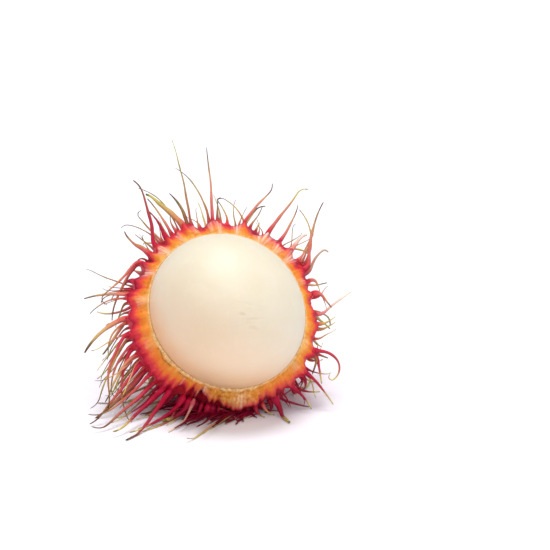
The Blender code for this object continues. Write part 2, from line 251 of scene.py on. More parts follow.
# the spines at the torn edge: clock and polar of the foot in degrees, length in mm, heading, turn, hook and
# forward in degrees, radius in mm, then hue from -0.25 (maroon, painted shade for spines low under the
# fruit) by 0 (crimson), 0.25 (red), 0.5 (salmon), 0.75 (yellow-green) and 1 (tan) to 1.25 (cream), and how
# flat the spine is
edgeRows = np.array([
    # top
    (107, 92, 19.4, 96, 10, 0, -6, 0.36, 0.92, 0.1),
    (96, 96, 15, 95, 48, 0, -14, 0.34, 0.85, 0.2),
    (94, 92, 16.6, 90, 4, 0, -4, 0.42, 0.44, 0.2),
    (91, 93, 6.2, 93, -20, -100, -6, 0.34, 1, 0.1),
    (89, 97, 7, 92, 22, 0, -8, 0.3, 0.78, 0),
    (85, 96, 6.4, 104, 26, -20, -8, 0.3, 0.72, 0),
    (75, 97, 9.6, 108, 50, 70, -8, 0.28, 0.74, 0),
    (101, 104, 5, 128, 30, 0, -25, 0.24, 0.8, 0),
    # upper right
    (75, 91, 11.4, 47, 2, 40, -5, 0.42, 0.42, 0.2),
    (71, 97, 6.4, 42, 28, 0, -14, 0.34, 0.9, 0),
    (67, 99, 3, 70, -20, 60, -20, 0.28, 0.8, 0),
    (60, 91, 13.8, 48, 9, -70, -6, 0.44, 0.42, 0.3),
    (51.5, 93, 9.8, 50, 26, 0, -12, 0.42, 0.42, 0.2),
    (43, 92, 5.4, 72, -62, 0, 0, 0.54, 1.25, 0.1),
    (36, 93, 6.5, 60, 8, 0, 0, 0.38, 0.5, 0),
    (34, 96, 7, 66, 4, 0, -4, 0.38, 0.58, 0),
    (32, 96, 13.6, 58, 74, 0, 0, 0.44, 0.54, 0),
    (27, 93, 7.6, 82, -62, -80, 4, 0.46, 1.1, 0.1),
    (29.5, 92, 15.2, 88, -27, 0, 4, 0.48, 0.4, 0.4),
    # right and lower right
    (22, 95, 4, -66, -10, 0, 0, 0.42, 0.45, 0),
    (13, 93, 5.2, -58, 4, 0, 0, 0.46, 0.4, 0),
    (1, 95, 8.8, 44, -12, 0, -6, 0.42, 1.25, 0.1),
    (-5, 95, 4.2, 24, 10, 0, 0, 0.36, 0.72, 0.1),
    (-8, 97, 4.5, 22, 14, 0, -4, 0.36, 0.78, 0.1),
    (-21.5, 92, 12.2, 14, -220, -100, 0, 0.46, 0.22, 0.1),
    (-23, 94, 3.6, -20, 0, 0, -6, 0.48, 0.2, 0),
    (-25, 93, 4.8, -114, 0, 0, 10, 0.52, 1, 0),
    (-25, 93, 7, -82, -4, 0, 4, 0.5, 0.1, 0.1),
    (-36, 93, 9.6, -44, -18, 0, 0, 0.5, 0.08, 0),
    (-39, 94, 4, -60, -70, 0, 0, 0.52, -0.05, 0),
    (-36, 98, 6.6, -44, -60, 50, -4, 0.3, 0.6, 0),
    (-46, 98, 6.4, -34, 36, 0, 0, 0.48, 0, 0),
    (-48, 93, 6.6, -34, -36, 0, 5, 0.5, 0, 0),
    (-57, 98, 7.5, -24, 14, 0, 4, 0.48, -0.05, 0),
    (-61, 92, 8.2, -72, -4, 0, 26, 0.7, -0.08, 0.1),
    # bottom
    (-64, 96, 3.8, -80, -110, 0, 10, 0.5, -0.1, 0),
    (-69, 94, 3.8, -58, 40, 0, 18, 0.4, 0.38, 0),
    (-74, 94, 4, -66, 10, 0, 20, 0.46, 0.12, 0),
    (-79, 96, 4.6, -70, 16, 0, 26, 0.5, -0.2, 0),
    (-84, 100, 18.5, 212, 0, 0, 56, 0.24, 0.95, 0),
    (-88, 98, 19.6, 217, -6, -50, 50, 0.44, 0.45, 0.3),
    (276, 100, 9, 226, -4, 0, 58, 0.46, -0.2, 0),
    (272, 102, 14.5, 214, -8, 0, 60, 0.54, -0.25, 0.2),
    (268, 100, 14.5, 206, 6, 0, 56, 0.56, -0.25, 0.2),
    (264, 101, 14, 200, 10, 0, 54, 0.56, -0.25, 0.2),
    (260, 94, 3.6, 262, 0, 0, 20, 0.6, -0.2, 0),
    (267, 95, 7.4, 300, -100, 0, 34, 0.48, 0.04, 0),
    (257, 93, 5.6, 214, -14, 0, 14, 0.6, -0.04, 0.1),
    (245.5, 93, 7.6, 222, -24, 0, 20, 0.86, -0.05, 0.1),
    (266, 103, 10, 190, -4, 0, 34, 0.5, -0.2, 0),
    (262, 100, 13, 222, -30, 30, 54, 0.56, -0.25, 0.2),
    (258, 99, 13, 204, 10, 0, 54, 0.56, -0.25, 0.2),
    (254, 98, 12, 214, 0, 0, 50, 0.5, -0.2, 0.2),
    (253, 95, 5.6, 226, -16, 0, 20, 0.44, 0, 0),
    (247.5, 90, 10.6, 240, -4, 0, 30, 0.36, 1.2, 0),
    (246, 96, 9.5, 228, -4, 0, 36, 0.32, 0.45, 0),
    # lower left
    (243, 100, 15, 222, -16, 20, 32, 0.34, 0.02, 0),
    (240, 95, 14, 250, -56, 0, 33, 0.38, 0.3, 0.1),
    (241, 92, 16.2, 222, -30, 0, 34, 0.54, 0, 0.1),
    (235, 99, 8, 222, -20, 0, 20, 0.42, 0, 0),
    (232, 92, 18, 236, -12, -16, 38, 0.56, 0.03, 0.2),
    (229, 104, 9, 194, 0, 0, 8, 0.34, 0.95, 0.3),
    (228, 92, 17.4, 223, 0, -26, 33, 0.56, 0, 0.2),
    (225, 98, 14.5, 234, -34, 0, 24, 0.36, 0.02, 0),
    (222, 95, 19, 222, -2, -60, 26, 0.52, 0.18, 0.2),
    (222, 103, 9, 200, 10, 0, 6, 0.32, 0.95, 0.3),
    (217, 92, 16.5, 230, -32, -30, 12, 0.42, 0.28, 0.2),
    (216, 104, 9.5, 236, -44, 0, 4, 0.34, 0.95, 0.4),
    (213, 99, 14.8, 230, -16, 0, 8, 0.52, 0.32, 0.6),
    (209, 93, 17.8, 233, -4, -22, 12, 0.52, 0.24, 0.2),
    (206, 98, 9, 226, 20, 0, 0, 0.36, 0.85, 0),
    (203, 92, 12.8, 218, 46, -30, 2, 0.42, 0.6, 0.3),
    (199, 94, 17.4, 243, 54, 8, 6, 0.48, 0.24, 0.1),
    (197, 94, 13, 223, 56, 26, 0, 0.46, 0.34, 0.1),
    (193, 99, 3.8, 221, 0, 0, -6, 0.34, 0.9, 0),
    (192, 95, 18, 237, 22, -42, 2, 0.4, 0.8, 0),
    (190, 92, 18.2, 231, 60, -30, 6, 0.48, 0.28, 0.1),
    (186, 98, 9, 222, 34, 0, -2, 0.28, 1, 0),
    (183, 98, 9.6, 200, 82, 0, -4, 0.38, 0.6, 0.3),
    (181, 92, 12.2, 201, 38, 0, 4, 0.5, 0.58, 0.6),
    (177, 97, 3.6, 205, 30, 0, -2, 0.28, 0.95, 0),
    (171, 98, 6.4, 246, 6, 0, -4, 0.34, 0.95, 0.1),
    (169, 96, 9.6, 170, 64, 0, -6, 0.36, 0.4, 0),
    (167, 92, 9.9, 174, 22, 0, 0, 0.48, 0.5, 0.2),
    (160, 103, 11.4, 164, -18, 20, -10, 0.28, 0.92, 0),
    (158, 95, 2.6, 196, 50, 40, 0, 0.6, 0, 0),
    # upper left
    (146, 92, 13.8, 227, -7, 120, 4, 0.46, 0.4, 0.1),
    (146, 98, 14.6, 227, 38, 0, -6, 0.52, 0.38, 0.1),
    (151, 104, 3.6, 130, 0, 0, -20, 0.25, 0.35, 0),
    (139, 92, 7.4, 150, -24, -24, 4, 0.52, 0.36, 0.1),
    (134, 98, 5.8, 142, -6, 0, -12, 0.32, 0.9, 0),
    (132.5, 92, 15.2, 91, 28, 22, 4, 0.52, 0.14, 0.1),
    (128.5, 100, 11, 128, 52, 40, -12, 0.28, 0.92, 0),
    (126.5, 103, 11.2, 131, -4, -110, -20, 0.4, 0.62, 0.1),
    (129, 97, 7, 120, 8, 0, -8, 0.28, 0.4, 0),
    (124.5, 92, 7.6, 100, 44, 0, 0, 0.5, 0.06, 0.1),
    (120, 96, 10.2, 112, 22, 0, -6, 0.44, 0.5, 0.1),
    (112, 92, 11, 134, 8, 24, 4, 0.58, 0.66, 0.5),
    (117, 94, 4.4, 140, -60, 0, 0, 0.36, 0.4, 0),
    (115, 99, 14.4, 104, 54, 0, -14, 0.3, 0.9, 0),
    (109, 95, 9, 100, 38, 0, -4, 0.46, 0.95, 0.4),
    (109, 103, 6, 138, 0, 0, -20, 0.25, 0.9, 0),
], float)

rest = {
    "count": 102,
    "polar": (108.5, 174),  # degrees from the opening's axis
    "seed": 11,
    "lowest": 1.5,  # mm: none grows where the rind lies closer to the ground
    "sweptClock": 216,  # degrees: the middle of those swept over to one heading
    "sweptHeading": 240,
    "sweptWithin": 36,
    "sweptFade": 24,
    "leanBack": 0.95,
    "droop": 0.22,
    "scatter": 0.26,  # of their aims
    "turn": (0.25, 0.95),  # radians
    "hook": (0, 1.3),  # radians, on half of them
    "length": (9.5, 13.5),  # mm
    "sweptLonger": 2.5,
    "radius": (0.38, 0.56),  # mm
    "hues": (0.28, 0.4, 0.5, 0.62, 0.7, 0.85),
    "flat": (0, 0.35),
    "redBelow": 14,  # mm of height under which they grow redder
}

# fine hairs between the spines, and at the bottom short spines that the fruit lies on, darkened to maroon as
# painted shade: how many, from where to where round the clock, polar, length in mm, heading and its spread,
# forward, radius in mm, and hues
hairPatches = [
    (20, (186, 250), (92, 110), (7, 13), (228, 10), (4, 30), (0.24, 0.34), (0.1, 0.5, 0.8, 1)),
    (44, (237, 291), (97, 112), (5, 11.5), (222, 20), (12, 56), (0.46, 0.64), (-0.25, -0.2, -0.12)),
    (18, (262, 330), (93, 110), (2.5, 7), (285, 40), (0, 26), (0.22, 0.32), (-0.1, 0, 0.05)),
    (6, (330, 390), (93, 106), (3, 6), (10, 40), (-14, 6), (0.2, 0.28), (0.2, 0.4, 0.6, 0.9)),
    (7, (30, 82), (94, 106), (3.5, 7.5), (62, 28), (-20, 0), (0.2, 0.28), (0.3, 0.45, 0.65, 0.85)),
    (6, (84, 140), (95, 106), (3, 6.5), (112, 22), (-20, 0), (0.2, 0.28), (0.3, 0.6, 0.8, 1)),
    (6, (140, 184), (93, 106), (3.5, 7), (190, 28), (-12, 8), (0.2, 0.28), (0.1, 0.35, 0.6, 0.95)),
]
hairStray = {"axis": 0.35, "turn": 0.45, "hook": 0.7}  # the last two in radians

spineFields = ("feet", "normals", "aim", "axis", "turn", "hook", "length", "radius", "hue", "flat")


def edgeSpines():
    # the fields of each row: heading and forward aim it, and it turns about the opening's axis
    clock, polar, heading, turn, hook, forward = np.radians(edgeRows[:, [0, 1, 3, 4, 5, 6]]).T
    length, radius = edgeRows[:, [2, 7]].T * mm
    hue, flat = edgeRows[:, [8, 9]].T
    feet, normals = onRind(clock, polar)
    aim = ballPoint(heading, math.pi / 2 - forward) @ axes.T
    axis = np.tile(axes[:, 2], (len(edgeRows), 1))
    return feet, normals, aim, axis, turn, hook, length, radius, hue, flat


def hairSpines():  # the same for the hairs, each drawn at random from its patch
    chance = np.random.RandomState(41)
    sets = []
    for count, clocks, polars, lengths, (middle, around), forwards, radii, hues in hairPatches:
        clock = np.radians(chance.uniform(*clocks, count))
        polar = np.radians(chance.uniform(*polars, count))
        heading = np.radians(chance.normal(middle, around, count))
        forward = np.radians(chance.uniform(*forwards, count))
        feet, normals = onRind(clock, polar)
        aim = ballPoint(heading, math.pi / 2 - forward) @ axes.T
        axis = unit(axes[:, 2] + chance.normal(0, hairStray["axis"], (count, 3)))
        turn, hook = (chance.normal(0, hairStray[name], count) for name in ("turn", "hook"))
        length, radius = (chance.uniform(*limits, count) * mm for limits in (lengths, radii))
        hue = chance.choice(hues, count)
        sets.append((feet, normals, aim, axis, turn, hook, length, radius, hue, np.zeros(count)))
    return [np.concatenate(column) for column in zip(*sets)]


def restSpines():
    # the same for the rest of the rind: feet along a golden spiral, aims from normal, lean and droop, and at
    # the lower left swept over to one heading
    chance = np.random.RandomState(rest["seed"])
    count = rest["count"]
    first, last = np.cos(np.radians(rest["polar"]))
    polar = np.arccos(first + (last - first) * (np.arange(count) + 0.5) / count)
    polar = polar + chance.uniform(-0.05, 0.05, count)
    goldenAngle = math.pi * (3 - math.sqrt(5))
    clock = np.arange(count) * goldenAngle + chance.uniform(-0.09, 0.09, count)
    feet, normals = onRind(clock, polar)
    away = np.abs(clockAway(clock, rest["sweptClock"]))
    sweep = 1 - smooth((away - rest["sweptWithin"]) / rest["sweptFade"])
    back = -axes[:, 2] * rest["leanBack"] * (1 - sweep)[:, None]
    droop = np.array((0, 0, rest["droop"]))
    leaning = normals + back + chance.normal(0, rest["scatter"], (count, 3)) - droop
    heading = math.radians(rest["sweptHeading"]) + chance.normal(0, 0.16, count)
    forward = chance.uniform(-0.1, 0.4, count)
    sweep = (sweep * (1 - smooth((polar - 2) / 0.7)))[:, None]
    swept = ballPoint(heading, math.pi / 2 - forward) @ axes.T
    aim = unit(unit(leaning) * (1 - sweep) + swept * sweep)
    axis = unit(np.cross(aim, chance.normal(0, 1, (count, 3))))
    turn = chance.uniform(*rest["turn"], count)
    hook = chance.uniform(*rest["hook"], count) * (chance.uniform(0, 1, count) < 0.5)
    length = (chance.uniform(*rest["length"], count) + rest["sweptLonger"] * sweep[:, 0]) * mm
    radius = chance.uniform(*rest["radius"], count) * mm
    low = smooth((rest["redBelow"] * mm - feet[:, 2]) / (12 * mm))
    hue = np.clip(chance.choice(rest["hues"], count) - 0.3 * low, 0.04, 1)
    flat = chance.uniform(*rest["flat"], count)
    kept = feet[:, 2] > rest["lowest"] * mm
    return [value[kept] for value in (feet, normals, aim, axis, turn, hook, length, radius, hue, flat)]


def spineLines():
    # each spine grows in short steps: square to the skin at first, then along its aim turned about its axis
    # by turn * share^1.3, with the hook near the tip, and it slides along the skin or the ground it meets
    feet, normals, aim, axis, turn, hook, length, radius = (spines[field] for field in spineFields[:8])
    steps = growth["steps"]
    step = (length / steps)[:, None]
    point = feet
    line = [point]
    for k in range(steps):
        share = (k + 0.5) / steps
        hooked = smooth((share - growth["hookFrom"]) / (1 - growth["hookFrom"]))
        angle = (turn * share ** 1.3 + hook * hooked)[:, None]
        across = np.cross(axis, aim)
        along = axis * np.sum(axis * aim, axis=1, keepdims=True)
        heading = aim * np.cos(angle) + across * np.sin(angle) + along * (1 - np.cos(angle))
        own = smooth(share * length / (growth["rise"] * mm))[:, None]
        taper = radius * (1 - (1 - growth["tipShare"]) * share ** 1.2)
        foot = (growth["footRadius"] * mm - radius) * np.exp(
            -((share * length / (growth["footHeight"] * mm)) ** 1.5))
        room = (taper + foot)[:, None] * own + growth["clearance"] * mm
        after = point + unit(normals * (1 - own) + heading * own) * step
        local = (after - rindCentre) @ longAxes
        inside = np.linalg.norm(local / (rindRadii + room), axis=1, keepdims=True)
        local = np.where((inside < 1) & (local[:, 2:] < 0), local / inside, local)
        after = rindCentre + local @ longAxes.T
        after[:, 2:] = np.maximum(after[:, 2:], room)
        point = point + unit(after - point) * step
        point[:, 2:] = np.maximum(point[:, 2:], room)
        line.append(point)
    return np.stack(line, axis=1)


def waveredLines(lines):
    # a grown spine is never an even curve: it gets two sine waves across it, and one slight bend of its own
    chance = np.random.RandomState(29)
    length, radius = spines["length"], spines["radius"]
    count, stations = lines.shape[:2]
    reach = np.linspace(0, 1, stations) * length[:, None]
    first, second = (unit(chance.normal(0, 1, (count, 3))) for _ in range(2))
    grown = smooth((reach - 1.5 * mm) / (4 * mm)) * growth["wander"] * mm
    phase = chance.uniform(0, math.tau, (2, count, 1))
    wave = chance.uniform(7, 12, (2, count, 1)) * mm
    bends = (np.sin(math.tau * reach / wave[k] + phase[k]) - np.sin(phase[k]) for k in range(2))
    shift = sum((bend * grown)[..., None] * side[:, None] for bend, side in zip(bends, (first, second)))
    place = chance.uniform(0.3, 0.75, (count, 1)) * length[:, None]
    slope = np.tan(np.radians(chance.normal(0, growth["kink"], (count, 1))))
    shift = shift + (slope * np.maximum(reach - place, 0))[..., None] * first[:, None]
    made = lines + shift
    made[..., 2] = np.maximum(made[..., 2], 0.5 * radius[:, None])
    return made


kinds = zip(spineFields, edgeSpines(), hairSpines(), restSpines())
spines = {field: np.concatenate(parts) for field, *parts in kinds}
edgeCount = len(edgeRows)
hairCount = sum(patch[0] for patch in hairPatches)
lines = waveredLines(spineLines())
print(len(lines), "spines")


# the rind: one closed skin, from inside the cup, over the torn edge, and round the outside

rind = {
    "around": 640,
    "inside": 6,
    "cut": 32,
    "outside": 112,
    "gap": 0.05,  # mm between the rind and the flesh, behind the lip that clings to it
    "lipPolar": 86.5,  # degrees from the opening's axis, at the flesh's middle, to where the lining ends
    "coneHeight": 2.3,  # mm of the cusp that a spine at the edge stands on
    "coneWidth": 0.95,
    "hairCone": 0.8,  # mm of the cusp under a fine hair
    "hairWidth": 0.6,  # of the others' width
    "edgeSquash": 0.3,  # how much of a distance along the opening's axis counts, which scallops the edge
    "thinned": 1.05,  # mm that the skin lies lower near the edge, between the cusps
    "thinnedDepth": 9,
    "bulge": 0.5,
    "pebble": 0.1,
    "liningWidth": 0.75,
    "liningHeight": 0.22,
    "groove": 0.12,  # mm, between the lining and the pith
    "ragged": 0.2,
    "raggedDepth": 1.2,
    "sunkenDepth": 1.6,
    # bells round the clock, middle and width in degrees and height: mm that the skin at the edge lies lower
    "sunken": [
        (-9, 10, -0.8), (8, 16, 0.25), (32, 5, 1.2), (55, 30, -0.5), (62, 4, 0.9), (69, 5, 1),
        (85.5, 4.5, 0.8), (105, 4.5, 1.3), (118, 5, 0.7), (126.5, 4.5, 1.3), (142, 9, 1.5), (170, 4.5, -0.9),
        (205, 11, 0.6), (231.5, 6, 2.1), (246, 9, 2.3), (260.5, 6.5, 1.5), (276, 9, -1.1), (306, 16, -0.7),
        (324, 6, -0.7), (336, 8, 0.7),
    ],
    # the same for its cusps' loss of size, then for how red, earthy and lined the torn edge is
    "lowCusps": [(4, 26, 0.45), (248, 12, 0.55), (288, 34, 0.5)],
    "redder": [
        (30, 14, 0.1), (157, 8, 0.22), (210, 24, 0.03), (248, 13, 0.16), (256, 14, -0.1), (300, 13, 0.08),
        (334, 12, -0.24),
    ],
    "ochre": [(270, 24, 1), (318, 12, 0.3)],
    "lined": [(150, 16, 0.25), (222, 40, 0.75), (276, 16, 0.5), (322, 26, 0.2)],
}

# pale bundles of fibre on the torn edge: clock and width in degrees, strength, and the shares of the way
# across where each begins and ends
bundles = [
    (133.5, 3.6, 1, 0, 0.74), (152, 2.8, 1, 0, 0.86), (118.5, 1.5, 0.9, 0.15, 1),
    (172.5, 3.6, 0.6, 0.05, 0.6), (107, 2.6, 0.45, 0.35, 1), (96.5, 1.6, 0.7, 0.2, 1),
    (91, 2.4, 0.85, 0, 1), (79, 2.2, 0.9, 0, 0.95), (61, 6, 1, 0, 1),
    (49.5, 4.2, 0.9, 0, 0.65), (39.5, 3.2, 1, 0, 1), (22.5, 2.6, 0.5, 0, 0.65),
    (-20.5, 5, 0.4, 0, 0.5), (-39.5, 3.5, 0.4, 0.05, 0.55), (276, 5, 0.55, 0.25, 0.8),
    (251, 2.6, 0.7, 0.3, 0.95), (235.3, 0.55, 1, 0, 1), (202, 6, 0.25, 0.3, 0.6),
]


def coneHeights(points, ball):
    # each spine's cusp is height * e^(-distance / width); several are joined by their cubes' sum
    total, nearEdge = np.zeros(len(points)), np.zeros(len(points))
    height, width = rind["coneHeight"] * mm, rind["coneWidth"] * mm
    seen = (spines["feet"] - rindCentre) @ axes
    lowered = clockHills(np.arctan2(seen[:, 1], seen[:, 0]), *rind["lowCusps"])
    lower = 1 - lowered * hill(seen[:, 2], 0, 6 * mm)
    for k, (foot, normal, radius) in enumerate(zip(spines["feet"], spines["normals"], spines["radius"])):
        near = np.flatnonzero(ball @ unit((foot - rindCentre) @ longAxes / rindRadii) > 0.93)
        apart = points[near] - foot
        apart = apart - np.outer(apart @ normal, normal)
        if k < edgeCount:
            deep = apart @ axes[:, 2]
            apart = apart - np.outer(deep * (1 - rind["edgeSquash"]), axes[:, 2])
        reach = np.linalg.norm(apart, axis=1)
        size = (0.62 + 0.38 * radius / (0.42 * mm)) * lower[k]
        hair = edgeCount <= k < edgeCount + hairCount
        cusp = np.exp(-reach / (width * size * (rind["hairWidth"] if hair else 1)))
        total[near] += ((rind["hairCone"] * mm if hair else height * size) * cusp) ** 3
        if k < edgeCount:
            nearEdge[near] = np.maximum(nearEdge[near], cusp)
    return np.cbrt(total), nearEdge


def bundleMarks(clock, share):
    # each bundle is a bell across the clock whose width grows outwards, combed into arms by a cosine that
    # fans with it, between two smooth ends
    marks = np.zeros(np.broadcast(clock, share).shape)
    for k, (middle, width, strength, begin, end) in enumerate(bundles):
        fanned = clockAway(clock, middle) / (0.55 + 0.6 * share)
        arms = 0.62 + 0.38 * np.cos(fanned * math.tau / max(1.9, 0.55 * width) + 1.7 * k)
        ends = smooth((share - begin + 0.08) / 0.12) * (1 - smooth((share - end) / 0.14))
        marks = np.maximum(marks, strength * hill(fanned, 0, width) * arms * ends)
    return marks


def rindGrid():
    # the skin's rings of points in order, the place of each in the fibres' pattern, and its marks for colours
    clock = np.arange(rind["around"]) * math.tau / rind["around"]
    ring = ballPoint(clock, math.pi / 2)
    wave = np.sin(3 * clock + 0.6) + 0.6 * np.sin(7 * clock)
    torn = 0.5 + 0.9 * clockHills(clock, (280, 40, 1))
    rags = (ripple(ring, 0.11, 21) + 0.7 * ripple(ring, 0.05, 22)) * rind["ragged"] * torn * mm
    outerEdge = math.radians(fruit["edgePolar"]) + math.radians(fruit["edgeWave"]) * wave / 1.6

    # inner wall: its gap is gap * (1 - 2 share^8), which presses the lip into the flesh
    share = (np.arange(1, rind["inside"] + 1) / rind["inside"])[:, None] ** 0.8
    polar = math.pi + (math.radians(rind["lipPolar"]) - math.pi) * share
    inner = ellipsoid(clock, polar, fleshRadii, fleshCentre)
    inner += unit(inner - fleshCentre) * rind["gap"] * mm * (1 - 2 * share ** 8)[..., None]

    # outer wall, its rows closer together near the edge, and sunken or raised there round the clock
    share = ((np.arange(rind["outside"]) / rind["outside"]) ** 1.25)[:, None]
    polar = outerEdge + (math.pi - outerEdge) * share
    outer, normals = onRind(clock, polar)
    flat = outer.reshape(-1, 3)
    ball = ballPoint(clock - longTurn, polar).reshape(-1, 3)
    cones, nearEdge = coneHeights(flat, ball)
    pebble = rind["pebble"] * mm * (ripple(flat, 1.5 * mm, 3) + 0.6 * ripple(flat, 0.7 * mm, 4))
    pebble *= 1 - smooth(cones / (1.2 * mm))
    cones, pebble, nearEdge = (value.reshape(outer.shape[:2]) for value in (cones, pebble, nearEdge))
    down = (polar - outerEdge) * rindRadii[0]
    sunken = clockHills(clock, *rind["sunken"]) * mm * (1 - 0.75 * smooth(nearEdge[0] / 0.8))
    thinned = rind["thinned"] * mm * hill(down, 0, rind["thinnedDepth"] * mm)
    lift = cones + pebble - thinned - sunken * hill(down, 0, rind["sunkenDepth"] * mm)
    lift = lift + rags * hill(down, 0, rind["raggedDepth"] * mm)
    outer = outer + normals * lift[..., None]

    # torn edge between them: it bulges along the opening's axis, with a raised lining against the flesh, a
    # groove beside that, and fibres that run across it
    share = (np.arange(1, rind["cut"] + 1) / (rind["cut"] + 1))[:, None]
    span = outer[0] - inner[-1]
    face = inner[-1] + span * share[..., None]
    fromFlesh = np.linalg.norm(span, axis=-1) * share / mm
    lined = np.clip(0.25 + clockHills(clock, *rind["lined"]), 0, 1)
    liningEdge = rind["liningWidth"] * (0.25 + 0.85 * lined) * (1 + 0.22 * ripple(ring, 0.16, 12))
    arch = np.sin(math.pi * share) ** 0.7
    lump, rough = ripple(face, 2.4 * mm, 9), ripple(face, 0.7 * mm, 10)
    fibre = ripple(ring, 0.04, 7) * 0.6 + ripple(ring, 0.02, 8) * 0.4
    marks = bundleMarks(clock, share)
    rise = rind["bulge"] * arch * (1 + 0.3 * lump)
    rise = rise + arch * (0.06 * fibre + 0.06 * rough + 0.12 * marks)
    raised = 1 - smooth((fromFlesh - 0.5 * liningEdge) / (0.6 * liningEdge))
    rise = rise + rind["liningHeight"] * lined * raised
    rise = rise - rind["groove"] * lined * hill(fromFlesh, liningEdge + 0.25, 0.2)
    face = face + axes[:, 2] * (rise * mm)[..., None]

    def overAll(wall, cut, skin):  # one value for each point of the three parts
        parts = zip((wall, cut, skin), ("inside", "cut", "outside"))
        return np.concatenate([np.broadcast_to(value, (rind[rows], rind["around"])) for value, rows in parts])

    # marks for the colours, zero where they don't reach
    redder = clockHills(clock, *rind["redder"]) + 0.05 * ripple(ring, 0.16, 13)
    ripe = share ** 1.25 + redder + 0.05 * ripple(ring, 0.05, 14)
    ochre = np.clip(clockHills(clock, *rind["ochre"]), 0, 1) * (1 - smooth((share - 0.66) / 0.34))
    often = smooth(0.2 + 0.7 * ripple(ring, 0.15, 15) + 0.35 * ripple(ring, 0.05, 17))
    speck = 0.8 * lined * hill(fromFlesh, liningEdge + 0.28 + 0.15 * ripple(ring, 0.1, 16), 0.24) * often
    lining = (0.4 + 0.6 * lined) * (1 - smooth((fromFlesh - 0.75 * liningEdge) / (0.45 * liningEdge)))
    spread = 19 * mm
    grid = np.concatenate([inner, face, outer])
    across = overAll(0, share, 1 + down / (6 * mm))
    circle = (np.cos(clock) * spread, np.sin(clock) * spread)
    fibrePlace = np.stack(np.broadcast_arrays(*circle, across * 0.9 * mm), axis=-1)
    marked = {
        "ripe": (0.1, ripe, 1), "pale": (0, marks, 0), "ochre": (0, ochre, 0), "speck": (0, speck, 0),
        "lining": (1, lining, 0), "skin": (0, smooth((share - 0.93) / 0.07), 1), "cone": (0, 0, cones / mm),
    }
    return grid, fibrePlace, {name: overAll(*parts) for name, parts in marked.items()}


def rindTissue():
    # fresh rambutan rind, torn open by hand: satin crimson leather outside, and on the torn edge moist orange
    # pith that reddens outwards, with pale bundles of fibre out to the spines and a cream lining by the flesh
    material, tree, shader = newMaterial("fresh_rambutan_rind")
    place = addNode(tree, "TexCoord", "Object", {})
    ripe, pale, ochre, speck, lining, skin, cone = (
        addNode(tree, "Attribute", "Fac", {}, attribute_name=name)
        for name in ("ripe", "pale", "ochre", "speck", "lining", "skin", "cone"))
    fibreAt = addNode(tree, "Attribute", "Vector", {}, attribute_name="fibrePlace")
    noises = ((place, 1.1, 4, 0.6), (place, 3, 2, 0.5), (place, 0.45, 3, 0.5), (fibreAt, 0.5, 4, 0.65))
    mottle, blotch, grit, fibre = (
        addNode(tree, "TexNoise", "Fac",
                {"Vector": where, "Scale": 1 / (size * mm), "Detail": detail, "Roughness": roughness})
        for where, size, detail, roughness in noises)

    # leather: crimson, darker in blotches, brighter on the cusps under the spines, and darkened to maroon as
    # painted shade low down near the ground
    leather = addNode(tree, "ValToRGB", "Color", {"Fac": blotch}, stops=[
        (0.34, "#8a0e26"), (0.46, "#b3142c"), (0.58, "#cf2434"), (0.72, "#dd4636"),
    ])
    height = addNode(tree, "SeparateXYZ", "Z", {"Vector": place})
    # painted shade: the skin turns towards maroon as it comes within 7 mm of the ground
    paintedGroundShade = (height, 7 * mm, mm, 0.75, "#500a1c")
    leather = layered(tree, leather, [(cone, 0.4, 1.8, 0.6, "#d42a44"), paintedGroundShade])

    # pith: ripeness shifted by mottle and fibre, which add 0.26 on average
    shifted = 0
    for driver, share in ((mottle, 0.3), (fibre, 0.22), (ripe, 0.64)):
        shifted = addNode(tree, "Math", 0, {0: driver, 1: share, 2: shifted}, operation="MULTIPLY_ADD")
    pith = addNode(tree, "ValToRGB", "Color", {"Fac": shifted}, stops=[
        (0.24, "#f2b45c"), (0.4, "#e88f36"), (0.57, "#e5752c"), (0.65, "#e2553a"), (0.74, "#da3a40"),
        (0.85, "#c0203c"), (0.94, "#8a0e2e"),
    ])
    earthy = addNode(tree, "ValToRGB", "Color", {"Fac": mottle}, stops=[
        (0.36, "#a8621f"), (0.46, "#cf8a34"), (0.56, "#dfa046"), (0.68, "#eec27a"),
    ])
    ochreShare = addNode(tree, "Math", 0, {0: ochre, 1: 0.85}, operation="MULTIPLY")
    combed = addNode(tree, "MapRange", "Result", {"Value": fibre, 1: 0.34, 2: 0.62, 3: 0.45, 4: 1})
    paleShare = addNode(tree, "Math", 0, {0: pale, 1: combed}, operation="MULTIPLY", use_clamp=True)
    straw = addNode(tree, "ValToRGB", "Color", {"Fac": grit}, stops=[
        (0.38, "#d8a868"), (0.5, "#edc48a"), (0.62, "#f6d9a8"),
    ])
    colour, shares = pith, (ochreShare, paleShare, speck, lining, skin)
    for share, over in zip(shares, (earthy, "#f8d8c2", "#9c6226", straw, leather)):
        colour = addNode(tree, "Mix", 2, {0: share, 6: colour, 7: over}, data_type="RGBA")

    grain = addNode(tree, "TexVoronoi", "Distance", {"Vector": place, "Scale": 1 / (0.55 * mm)},
                    feature="SMOOTH_F1")
    wrinkled = addNode(tree, "Bump", "Normal", {"Strength": 0.3, "Distance": 0.1 * mm, "Height": grain})
    fibrous = addNode(tree, "Bump", "Normal",
                      {"Strength": 0.5, "Distance": 0.1 * mm, "Height": fibre, "Normal": wrinkled})
    gloss = addNode(tree, "MapRange", "Result", {"Value": mottle, 1: 0.3, 2: 0.7, 3: 0.38, 4: 0.58})
    feed(tree, shader, {
        "Base Color": colour, "Normal": fibrous, "Roughness": gloss, "IOR": 1.42, "Specular IOR Level": 0.2,
        "Subsurface Weight": 0.12, "Subsurface Scale": 0.6 * mm, "Subsurface Radius": (1, 0.35, 0.2),
    })
    return material


